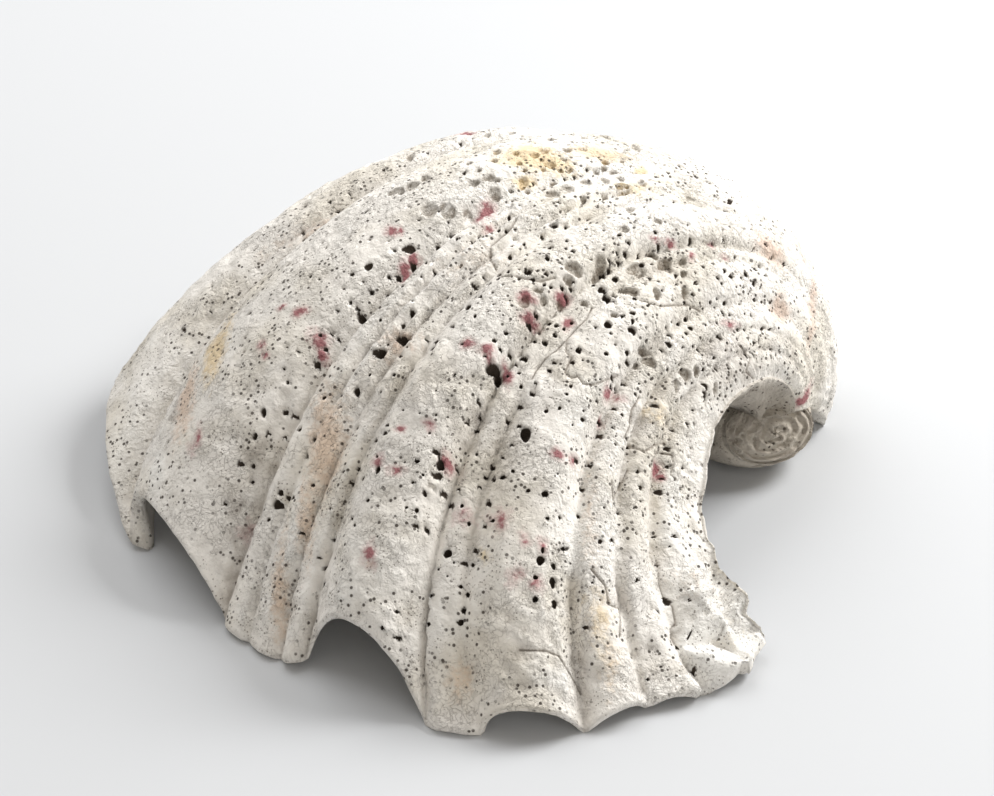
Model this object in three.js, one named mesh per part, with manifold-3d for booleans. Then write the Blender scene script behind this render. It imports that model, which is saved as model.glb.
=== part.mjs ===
// One valve of a giant clam, lying hollow side down on its margin and its beak.
import * as THREE from "three";
import { mergeVertices } from "three/addons/utils/BufferGeometryUtils.js";
import Module from "manifold-3d";

const wasm = await Module();
wasm.setup();

// Driving dimensions, in millimetres and degrees.
// The margin lies on the ground as part of an ellipse, seen here from the beak's pole.
const MARGIN_HALF_LENGTH = 108;
const MARGIN_HALF_WIDTH = 84;
const MARGIN_TURN = 125.4;
const MARGIN_CENTRE_FROM_POLE = new THREE.Vector2(-80.5, -7.7);
const POLE_HEIGHT = 11.8;
const GROUND_SIDE = 4 * MARGIN_HALF_LENGTH;

// The shell grows as a spiral: each step of the turn shrinks the margin towards the pole.
const SHRINK_PER_RADIAN = 0.494;
const AXIS_SWING = -27.4;
const AXIS_DIP = -24.5;
const DRIFT_ALONG_AXIS = 15.3;
const LAST_TURN = 3.5;

// Wall, from the thin margin to the heavy beak, as a share of the local radius. Each pair of turns
// is where a change starts and ends.
const MARGIN_WALL = 2.6;
const MIDDLE_WALL_SHARE = 0.1;
const MIDDLE_WALL_TURN = [0, 1.5];
const BEAK_WALL_SHARE = 0.6;
const BEAK_WALL_TURN = [1.2, LAST_TURN];
const INNER_FOLD_TURN = [0.2, 1.1];

// Beside the gape the coil is filled in towards its axis.
const BESIDE_GAPE_FROM = 62;
const BEAK_FILL = 0.92;
const BEAK_FILL_TURN = [1, 2.3];

// Radial folds, from the hinge end to the gape. Each starts at an angle round the fan, and near the
// margin that start sways aside and flares outwards. Height is how high the fold stands, foot how
// far the margin is cut back at its start, and arch how much further under the fold's crest.
const FOLD_HEIGHT = 9;
const FOLDS = [
  { start: -50, sway: 0, flare: 0, height: 0.3, foot: 0.14, arch: 0.03, steps: 6 },
  { start: -36, sway: 0, flare: 2, height: 0.7, foot: 0, arch: 0.08, steps: 7 },
  { start: -17, sway: 5, flare: 4, height: 1.0, foot: 0, arch: 0.06, steps: 9 },
  { start: 2.1, sway: 10, flare: 7.5, height: 1.1, foot: 0, arch: 0.085, steps: 12 },
  { start: 26, sway: 0, flare: 5, height: 0.16, foot: 0.012, arch: 0, steps: 3 },
  { start: 29.5, sway: 0, flare: 4, height: 0.2, foot: 0.012, arch: 0, steps: 3 },
  { start: 33.5, sway: 0, flare: 4, height: 0.16, foot: 0.012, arch: 0, steps: 3 },
  { start: 37, sway: -1, flare: 4, height: 1.0, foot: 0.03, arch: 0.12, steps: 12 },
  { start: 50.1, sway: 0, flare: 6, height: 0.2, foot: 0, arch: 0, steps: 4 },
  { start: 54, sway: 1.5, flare: 6, height: 0.8, foot: 0, arch: 0.055, steps: 11 },
  { start: 67.3, sway: -1.5, flare: 5, height: 0.45, foot: 0, arch: 0.025, steps: 6 },
  { start: 73.5, sway: 0, flare: 4, height: 0.4, foot: 0.045, arch: 0.01, steps: 5 },
  { start: 79.5, sway: 0, flare: 4, height: 0.45, foot: 0.035, arch: 0, steps: 6 },
];
const ARCH_POWER = 0.8;
const CUT_FADE = 0.25;
const LAST_EDGE = { start: 88.3, sway: 0, flare: 3, foot: 0.08 };
const SWAY_FADE = 0.12;
const FLARE_FADE = 0.13;
const CREST_POWER = 2.4;

// The folds wear down towards the beak, between two turns.
const WORN_SHARE = 0.6;
const WORN_TURN = [0.6, 1.9];

// Round the beak the gape's edge swells into a thick lip.
const GAPE_EDGE = { index: FOLDS.length - 1, across: 1 };
const LIP_STEPS = 3;
const THIN_LIP = 0.8;
const THICK_LIP = 5;
const LIP_TURN = [0.7, 1.8];
const SHOULDER = 8;
const SHOULDER_TURN = [0.8, 1.9];

// Growth ledges: the turn each stands at and how far it steps out.
const LEDGES = [
  { turn: 0.1, step: 0.9 },
  { turn: 0.26, step: 0.4 },
  { turn: 0.5, step: 0.5 },
  { turn: 0.85, step: 0.3 },
  { turn: 1.35, step: 0.3 },
];
const LEDGE_HALF_WIDTH = 0.006;
const WIDEST_ROW = 0.22;

// The beak's blunt end: a plug round the axis with a low dome of wrapped layers.
const BEAK_RADIUS = 13;
const BEAK_ROOT_RADIUS = 21;
const BEAK_ROOT_LENGTH = 16;
const BEAK_ROOT_STEPS = 4;
const BEAK_LAYERS = 4;
const BEAK_LAYER_STEP = 0.8;
const BEAK_LAYER_TAPER = 0.97;
const BEAK_BULGE = 4;
const BEAK_SIDES = 20;
const BEAK_FROM_POLE = new THREE.Vector3(4, 3.4, -1.2);
const BEAK_SQUASH = new THREE.Vector3(1.1, 1, 0.85);

// Borings: the largest by place (fan, turn, radius), and smaller ones scattered by a seed.
const LARGE_PITS = [
  [48.5, 0.72, 2.6],
  [57.2, 0.64, 2.4],
  [44.8, 0.53, 2.0],
  [47.8, 0.48, 1.9],
  [51.6, 0.32, 1.9],
  [28.3, 0.22, 2.0],
  [33, 0.6, 2.8],
  [31.8, 0.48, 1.8],
  [25.1, 0.59, 1.8],
  [22.3, 0.33, 1.7],
  [62, 0.53, 1.6],
  [62.6, 0.37, 2.0],
  [64.5, 0.32, 1.8],
  [47, 1.09, 3.4],
  [48.5, 1.2, 3.6],
  [53.5, 1.37, 3.4],
  [59, 1.34, 2.8],
  [58, 1.04, 2.6],
];
const SMALL_PIT_COUNT = 52;
const SMALL_PIT_RADIUS = 1.5;
const SMALL_PIT_FAN = [-40, 84];
const SMALL_PIT_TURN = [0.25, 1.6];

const degrees = THREE.MathUtils.degToRad;
const smooth = THREE.MathUtils.smoothstep;

// The spiral sheet.
const axis = new THREE.Vector3(
  Math.sin(degrees(AXIS_SWING)) * Math.cos(degrees(AXIS_DIP)),
  Math.cos(degrees(AXIS_SWING)) * Math.cos(degrees(AXIS_DIP)),
  Math.sin(degrees(AXIS_DIP)),
);
const pole = new THREE.Vector3(0, 0, POLE_HEIGHT);

// Distance from the pole to the margin along one ray of the fan: the far crossing of an ellipse.
function marginRadius(fan) {
  const origin = new THREE.Vector2();
  const halfSizes = new THREE.Vector2(MARGIN_HALF_LENGTH, MARGIN_HALF_WIDTH);
  const toEllipse = (v) => v.rotateAround(origin, -degrees(MARGIN_TURN)).divide(halfSizes);
  const ray = toEllipse(new THREE.Vector2(-Math.cos(fan), -Math.sin(fan)));
  const start = toEllipse(MARGIN_CENTRE_FROM_POLE.clone().negate());
  const along = ray.dot(start);
  const size = ray.lengthSq();
  return (-along + Math.sqrt(along * along - size * (start.lengthSq() - 1))) / size;
}

// The plain sheet, without folds. The turn is in radians, 0 at the margin.
function sheetPoint(fan, turn) {
  const radius = marginRadius(fan);
  const shrink = Math.exp(-SHRINK_PER_RADIAN * turn);
  return new THREE.Vector3(-radius * Math.cos(fan), -radius * Math.sin(fan), -POLE_HEIGHT)
    .applyAxisAngle(axis, turn)
    .multiplyScalar(shrink)
    .add(pole)
    .addScaledVector(axis, DRIFT_ALONG_AXIS * (1 - shrink));
}

function outward(fan, turn) {
  const step = 0.001;
  const acrossFan = sheetPoint(fan + step, turn).sub(sheetPoint(fan - step, turn));
  const alongTurn = sheetPoint(fan, turn + step).sub(sheetPoint(fan, turn - step));
  return acrossFan.cross(alongTurn).normalize();
}

// Folds.
const foldOrEdge = (index) => (index === FOLDS.length ? LAST_EDGE : FOLDS[index]);

function foldStart(index, turn) {
  const { start, sway } = foldOrEdge(index);
  return degrees(start + sway * Math.exp(-turn / SWAY_FADE));
}

// A value that runs evenly from the start of one fold to the start of the next.
const between = ({ index, across }, name) =>
  THREE.MathUtils.lerp(foldOrEdge(index)[name], foldOrEdge(index + 1)[name], across);

const dome = (across) => 1 - Math.abs(2 * across - 1) ** CREST_POWER;

// The surface leans in from each ledge to the next.
function ledge(turn) {
  const above = LEDGES.findIndex((one) => one.turn > turn);
  const last = LEDGES.length - 1;
  if (above === 0) return 0;
  if (above === -1) return LEDGES[last].step * (1 - smooth(turn, LEDGES[last].turn, LAST_TURN));
  const from = LEDGES[above - 1];
  return from.step * (1 - (turn - from.turn) / (LEDGES[above].turn - from.turn));
}

const fanAt = ({ index, across }, turn) =>
  THREE.MathUtils.lerp(foldStart(index, turn), foldStart(index + 1, turn), across);
const shrinkAt = (turn) => Math.exp(-SHRINK_PER_RADIAN * turn);

// Height of the folds over the plain sheet. They run out towards both ends of the fan.
function foldRelief({ index, across }, turn) {
  let fade = 1;
  if (index === 0) fade = smooth(across, 0, 0.8);
  if (index === FOLDS.length - 1) fade = 1 - smooth(across, 0.4, 1);
  fade *= 1 - WORN_SHARE * smooth(turn, ...WORN_TURN);
  const fold = FOLD_HEIGHT * (FOLDS[index].height * dome(across) - 0.5);
  const flare = between({ index, across }, "flare") * Math.exp(-turn / FLARE_FADE);
  return (fold * fade + flare) * shrinkAt(turn);
}

// Round the beak the sheet beside the gape bulges ahead along the axis.
const besideGape = (fan) => smooth(fan, degrees(BESIDE_GAPE_FROM), degrees(LAST_EDGE.start));
const shoulder = (fan, turn) => SHOULDER * smooth(turn, ...SHOULDER_TURN) * besideGape(fan);

function outerPoint(column, turn) {
  const fan = fanAt(column, turn);
  const relief = foldRelief(column, turn) + ledge(turn) * shrinkAt(turn);
  const plain = sheetPoint(fan, turn).addScaledVector(outward(fan, turn), relief);
  return plain.addScaledVector(axis, -shoulder(fan, turn));
}

// The nearest point of the spiral's axis.
const onAxis = (point) => pole.clone().addScaledVector(axis, point.clone().sub(pole).dot(axis));

// Inside, the folds fade and the wall thickens towards the beak.
function innerPoint(column, turn) {
  const fan = fanAt(column, turn);
  const radius = marginRadius(fan) * shrinkAt(turn);
  const middle = smooth(turn, ...MIDDLE_WALL_TURN);
  const beak = smooth(turn, ...BEAK_WALL_TURN);
  const share = MIDDLE_WALL_SHARE * middle + (BEAK_WALL_SHARE - MIDDLE_WALL_SHARE) * beak;
  const relief = foldRelief(column, turn) * (1 - smooth(turn, ...INNER_FOLD_TURN));
  const wall = MARGIN_WALL * (1 - middle) + radius * share;
  const inside = sheetPoint(fan, turn).addScaledVector(outward(fan, turn), relief - wall);
  return inside.lerp(onAxis(inside), BEAK_FILL * smooth(turn, ...BEAK_FILL_TURN) * besideGape(fan));
}

// The lip rolls on from the gape's edge, ahead along the axis and in towards it.
function lipPoint(roll, turn) {
  const edge = outerPoint(GAPE_EDGE, turn);
  const inwards = onAxis(edge).sub(edge).normalize();
  const size = THREE.MathUtils.lerp(THIN_LIP, THICK_LIP, smooth(turn, ...LIP_TURN));
  const angle = (roll * Math.PI) / 2;
  edge.addScaledVector(axis, -size * Math.sin(angle));
  return edge.addScaledVector(inwards, size * (1 - Math.cos(angle)));
}

// Columns run round the fan. Each has the turn where its margin is cut back.
function columns(stride) {
  const list = [];
  FOLDS.forEach(({ steps }, index) => {
    for (let step = 0; step < steps; step += stride) list.push({ index, across: step / steps });
  });
  list.push(GAPE_EDGE);
  return list;
}

const marginCut = (column) =>
  between(column, "foot") + FOLDS[column.index].arch * dome(column.across) ** ARCH_POWER;

// Rows run from the margin to the beak, with a pair of rows at each ledge.
function rows(stride) {
  const stops = [0, ...LEDGES.map(({ turn }) => turn), LAST_TURN];
  const turns = [];
  for (let stop = 0; stop + 1 < stops.length; stop += 1) {
    const from = stop === 0 ? 0 : stops[stop] + LEDGE_HALF_WIDTH;
    const to = stops[stop + 1] === LAST_TURN ? LAST_TURN : stops[stop + 1] - LEDGE_HALF_WIDTH;
    const steps = Math.ceil((to - from) / WIDEST_ROW);
    for (let step = 0; step <= steps; step += 1) {
      turns.push(THREE.MathUtils.lerp(from, to, step / steps));
    }
  }
  return turns.filter((_, index) => index % stride === 0 || index === turns.length - 1);
}

// A turn measured from the cut margin, so that rows bunch above an arch.
const fromCut = (turn, cut) => turn + cut * Math.exp(-turn / CUT_FADE);

// The sheet as one closed skin: outside, inside, and strips that close its four edges.
function shellSkin() {
  const positions = [];
  const faces = [];
  const addPoint = (point) => positions.push(...point.toArray()) / 3 - 1;
  const addGrid = (pointAt, columnList, rowList) =>
    columnList.map((column) => {
      const cut = marginCut(column);
      return rowList.map((turn) => addPoint(pointAt(column, fromCut(turn, cut))));
    });
  const fillGrid = (grid, flipped) => {
    for (let i = 0; i + 1 < grid.length; i += 1) {
      for (let j = 0; j + 1 < grid[i].length; j += 1) {
        const [a, b, c, d] = [grid[i][j], grid[i + 1][j], grid[i + 1][j + 1], grid[i][j + 1]];
        faces.push(...(flipped ? [a, b, c, a, c, d] : [a, c, b, a, d, c]));
      }
    }
  };
  // Joins two rows of points of different counts that run the same way.
  const stitch = (first, second, flipped) => {
    let i = 0;
    let j = 0;
    while (i < first.length - 1 || j < second.length - 1) {
      const onFirst = (i + 1) * (second.length - 1) <= (j + 1) * (first.length - 1);
      const tip = onFirst ? first[i + 1] : second[j + 1];
      faces.push(...(flipped ? [first[i], tip, second[j]] : [first[i], second[j], tip]));
      if (onFirst) i += 1;
      else j += 1;
    }
  };
  const outer = addGrid(outerPoint, columns(1), rows(1));
  for (let step = 1; step <= LIP_STEPS; step += 1) {
    outer.push(...addGrid((_, turn) => lipPoint(step / LIP_STEPS, turn), [GAPE_EDGE], rows(1)));
  }
  const inner = addGrid(innerPoint, columns(2), rows(2));
  fillGrid(outer, true);
  fillGrid(inner, false);
  const edge = (grid, row) => grid.map((line) => line.at(row));
  stitch(edge(outer, 0), edge(inner, 0), false);
  stitch(edge(outer, -1), edge(inner, -1), true);
  stitch(outer[0], inner[0], true);
  stitch(outer.at(-1), inner.at(-1), false);
  const geometry = new THREE.BufferGeometry();
  geometry.setAttribute("position", new THREE.Float32BufferAttribute(positions, 3));
  geometry.setIndex(faces);
  return geometry;
}

// The beak's end: a plug with a stepped dome, turned about the spiral's axis.
function beakEnd() {
  const profile = [new THREE.Vector2(0, -BEAK_ROOT_LENGTH)];
  for (let step = 0; step < BEAK_ROOT_STEPS; step += 1) {
    const angle = (step / BEAK_ROOT_STEPS) * (Math.PI / 2);
    const radius = THREE.MathUtils.lerp(BEAK_RADIUS, BEAK_ROOT_RADIUS, Math.cos(angle));
    profile.push(new THREE.Vector2(radius, BEAK_ROOT_LENGTH * (Math.sin(angle) - 1)));
  }
  for (let layer = 0; layer <= BEAK_LAYERS; layer += 1) {
    const angle = (layer / (BEAK_LAYERS + 1)) * (Math.PI / 2);
    const radius = BEAK_RADIUS * Math.cos(angle);
    const height = BEAK_BULGE * Math.sin(angle);
    profile.push(new THREE.Vector2(radius, height - BEAK_LAYER_STEP));
    profile.push(new THREE.Vector2(radius * BEAK_LAYER_TAPER, height));
  }
  profile.push(new THREE.Vector2(0, BEAK_BULGE));
  const ahead = axis.clone().negate();
  return new THREE.LatheGeometry(profile, BEAK_SIDES)
    .applyQuaternion(new THREE.Quaternion().setFromUnitVectors(new THREE.Vector3(0, 1, 0), ahead))
    .scale(...BEAK_SQUASH.toArray())
    .translate(...pole.clone().add(BEAK_FROM_POLE).toArray());
}

function solidOf(geometry) {
  const plain = geometry.clone();
  plain.deleteAttribute("normal");
  plain.deleteAttribute("uv");
  const merged = mergeVertices(plain, 1e-4);
  return new wasm.Manifold(
    new wasm.Mesh({
      numProp: 3,
      vertProperties: merged.attributes.position.array,
      triVerts: new Uint32Array(merged.index.array),
    }),
  );
}

// Repeatable scatter for the smaller borings.
function* scatter(seed) {
  let state = seed;
  while (true) {
    state = (state * 1664525 + 1013904223) % 4294967296;
    yield state / 4294967296;
  }
}

function pitPlaces() {
  const random = scatter(7);
  const next = () => random.next().value;
  const small = Array.from({ length: SMALL_PIT_COUNT }, () => [
    THREE.MathUtils.lerp(...SMALL_PIT_FAN, next()),
    THREE.MathUtils.lerp(...SMALL_PIT_TURN, next()),
    SMALL_PIT_RADIUS * (0.8 + 0.4 * next()),
  ]);
  return [...LARGE_PITS, ...small];
}

function columnAt(fanDegrees, turn) {
  const fan = degrees(fanDegrees);
  const index = FOLDS.findLastIndex((_, fold) => foldStart(fold, turn) <= fan);
  const from = foldStart(index, turn);
  return { index, across: (fan - from) / (foldStart(index + 1, turn) - from) };
}

// The valve: the closed skin and its beak, cut level where it rests, with the borings cut in.
function valveGeometry() {
  let solid = solidOf(shellSkin()).add(solidOf(beakEnd()));
  const ground = new THREE.BoxGeometry(GROUND_SIDE, GROUND_SIDE, GROUND_SIDE);
  solid = solid.subtract(solidOf(ground.translate(0, 0, -GROUND_SIDE / 2)));
  for (const [fanDegrees, turn, radius] of pitPlaces()) {
    const centre = outerPoint(columnAt(fanDegrees, turn), turn);
    const pit = new THREE.IcosahedronGeometry(radius, 0).translate(centre.x, centre.y, centre.z);
    solid = solid.subtract(solidOf(pit));
  }
  const { vertProperties, triVerts } = solid.getMesh();
  const geometry = new THREE.BufferGeometry();
  geometry.setAttribute("position", new THREE.BufferAttribute(vertProperties, 3));
  geometry.setIndex(new THREE.BufferAttribute(triVerts, 1));
  geometry.computeVertexNormals();
  return geometry;
}

const chalkyShell = new THREE.MeshStandardMaterial({ color: 0xe6e0d8, roughness: 0.85, metalness: 0 });

const valve = new THREE.Mesh(valveGeometry(), chalkyShell);
valve.name = "valve";

// The part's origin is under the middle of its box.
const box = new THREE.Box3().setFromObject(valve);
const middle = box.getCenter(new THREE.Vector3());
valve.position.set(-middle.x, -middle.y, -box.min.z);

const clamShell = new THREE.Group();
clamShell.add(valve);

export default clamShell;
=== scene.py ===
import math

import bpy
import numpy as np
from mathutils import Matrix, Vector
from mathutils.bvhtree import BVHTree
from mathutils.geometry import delaunay_2d_cdt


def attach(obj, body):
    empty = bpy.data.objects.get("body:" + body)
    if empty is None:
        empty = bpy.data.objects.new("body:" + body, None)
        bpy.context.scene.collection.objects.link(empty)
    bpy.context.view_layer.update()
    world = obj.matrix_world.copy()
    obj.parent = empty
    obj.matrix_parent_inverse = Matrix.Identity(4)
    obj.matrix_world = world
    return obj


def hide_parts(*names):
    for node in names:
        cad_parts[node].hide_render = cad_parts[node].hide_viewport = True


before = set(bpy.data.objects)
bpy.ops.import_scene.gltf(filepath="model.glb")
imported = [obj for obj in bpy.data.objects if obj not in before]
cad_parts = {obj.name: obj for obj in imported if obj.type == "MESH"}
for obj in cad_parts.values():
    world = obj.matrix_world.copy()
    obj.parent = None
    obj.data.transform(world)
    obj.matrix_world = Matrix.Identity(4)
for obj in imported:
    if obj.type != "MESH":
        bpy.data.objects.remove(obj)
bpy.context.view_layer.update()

# Lengths are in metres. Fan angles are in degrees, turns in radians, and pixels are the photo's.
MM = 0.001
IMAGE_WIDTH = 994
IMAGE_HEIGHT = 796

# The camera.
CAMERA_TARGET = np.array([0.0059, 0.0401, 0.0])
CAMERA_DISTANCE = 0.893
CAMERA_ELEVATION = 35.73
LENS_MM = 116.4
SENSOR_MM = 36.0

# The spiral sheet, as in the solid.
MARGIN_HALF_LENGTH = 0.108
MARGIN_HALF_WIDTH = 0.084
MARGIN_TURN = 125.4
MARGIN_CENTRE = np.array([-0.0805, -0.0077])
POLE = np.array([0.07556, 0.00806, 0.0118])
SHRINK_PER_RADIAN = 0.494
AXIS_SWING = -27.4
AXIS_DIP = -24.5
DRIFT_ALONG_AXIS = 0.0153
LAST_TURN = 3.5

# Radial folds from the hinge end to the gape: start, sway, flare, height, foot, arch. The last row
# is only the gape's edge.
FOLDS = np.array([
    (-50.0, 0.0, 0.0, 0.30, 0.140, 0.030),
    (-36.0, 0.0, 2.0, 0.70, 0.000, 0.080),
    (-17.0, 5.0, 4.0, 1.00, 0.000, 0.060),
    (2.1, 10.0, 7.5, 1.10, 0.000, 0.085),
    (26.0, 0.0, 5.0, 0.16, 0.012, 0.000),
    (29.5, 0.0, 4.0, 0.20, 0.012, 0.000),
    (33.5, 0.0, 4.0, 0.16, 0.012, 0.000),
    (37.0, -1.0, 4.0, 1.00, 0.030, 0.120),
    (50.1, 0.0, 6.0, 0.20, 0.000, 0.000),
    (54.0, 1.5, 6.0, 0.80, 0.000, 0.055),
    (67.3, -1.5, 5.0, 0.45, 0.000, 0.025),
    (73.5, 0.0, 4.0, 0.40, 0.045, 0.010),
    (79.5, 0.0, 4.0, 0.45, 0.035, 0.000),
    (88.3, 0.0, 3.0, 0.00, 0.080, 0.000),
])
START, SWAY, FLARE, HEIGHT, FOOT, ARCH = FOLDS.T
FIRST_FAN = START[0]
LAST_FAN = START[-1]
LAST_FOLD = len(FOLDS) - 2
LAST_WIDE_FOLD = 8
FOLD_HEIGHT = 0.009
SWAY_FADE = 0.12
FLARE_FADE = 0.13
CUT_FADE = 0.25

# Spacing of the mesh outside and inside.
OUTER_SPACING = 0.00119
INNER_SPACING = 0.0034
EDGE_STEPS = 4
FACE_STEPS = 5
FAN_METRES = 0.15 * math.pi / 180
RISE_METRES = 0.11
ROW_HEIGHT_PER_SPACING = 0.87
COARSE_FANS = np.linspace(FIRST_FAN, LAST_FAN, 260)
COARSE_RISES = np.linspace(0, LAST_TURN, 200)

# The wall, the gape's lip and the filled end.
WALL_AT_MARGIN = 0.0026
FILLED_SHARE = 0.92
SHOULDER_BY_GAPE = 0.008
LIP_RADIUS = 0.0009
BEAK_RADIUS = 0.0117
BEAK_ROOT_RADIUS = 0.0155
BEAK_ROOT_LENGTH = 0.016
BEAK_ROOT_SHARE = 0.4
BEAK_BULGE = 0.0035
BEAK_FROM_POLE = np.array([0.0004, 0.0034, -0.0006])
BEAK_BACK = 0.0045
BEAK_SQUASH = np.array([1.15, 1.0, 0.72])
BEAK_SIDES = 112
BEAK_ROWS = 56
BEAK_LAYERS = 5.2
BEAK_LAYER_STEP = 0.0011
BEAK_PIT_DEPTH = 0.0008

# The lumps of the front corner and the blunt foot at the far left.
CORNER_REACH = 0.050
CORNER_BULK = 0.0042
CORNER_ROUGHNESS = 0.0022
LEFT_FOOT_FAN = 0.5
LEFT_FOOT_BULK = 0.0018
LEFT_FOOT_TIP_FAN = 2.1
LEFT_FOOT_REACH = 0.011
LEFT_FOOT_WIDENING = 0.0018

# Relief: height in mm, width in metres and seed.
LUMPS = [(0.9, 0.026, 6), (0.45, 0.011, 7)]
CRUMBS = [(0.45, 0.006, 8), (0.34, 0.003, 9)]
GRAIN = (0.2, 0.0018, 10)

# Borings and cracks. A pore's radius, spread and depth are in mm.
LEAST_SLANT = 0.35
PORE_COUNT = 820
PORE_RADIUS = 0.34
PORE_RADIUS_SPREAD = 0.42
PORE_DEPTH = 1.1
PORE_GAP = 0.0022
PIT_GAP = 0.0012
HOLE_STEEPNESS = 5
CRATER_STEEPNESS = 7
CRATER_DEEPENING = 1.35
CRACK_HALF_WIDTH = 0.0003
CRACK_DEPTH = 0.0005
CRACK_STEP_PIXELS = 3

# Crowded pits: the middle and half sizes of each field in the photo, how many, their smallest and
# largest radius in photo pixels, depth in mm.
PIT_FIELDS = [
    (555, 165, 100, 38, 75, 2.4, 5.0, 0.8),
    (640, 290, 110, 60, 60, 1.6, 3.4, 1.5),
    (560, 250, 90, 40, 30, 1.4, 2.6, 1.3),
    (720, 340, 60, 60, 45, 1.2, 2.4, 1.1),
]

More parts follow.
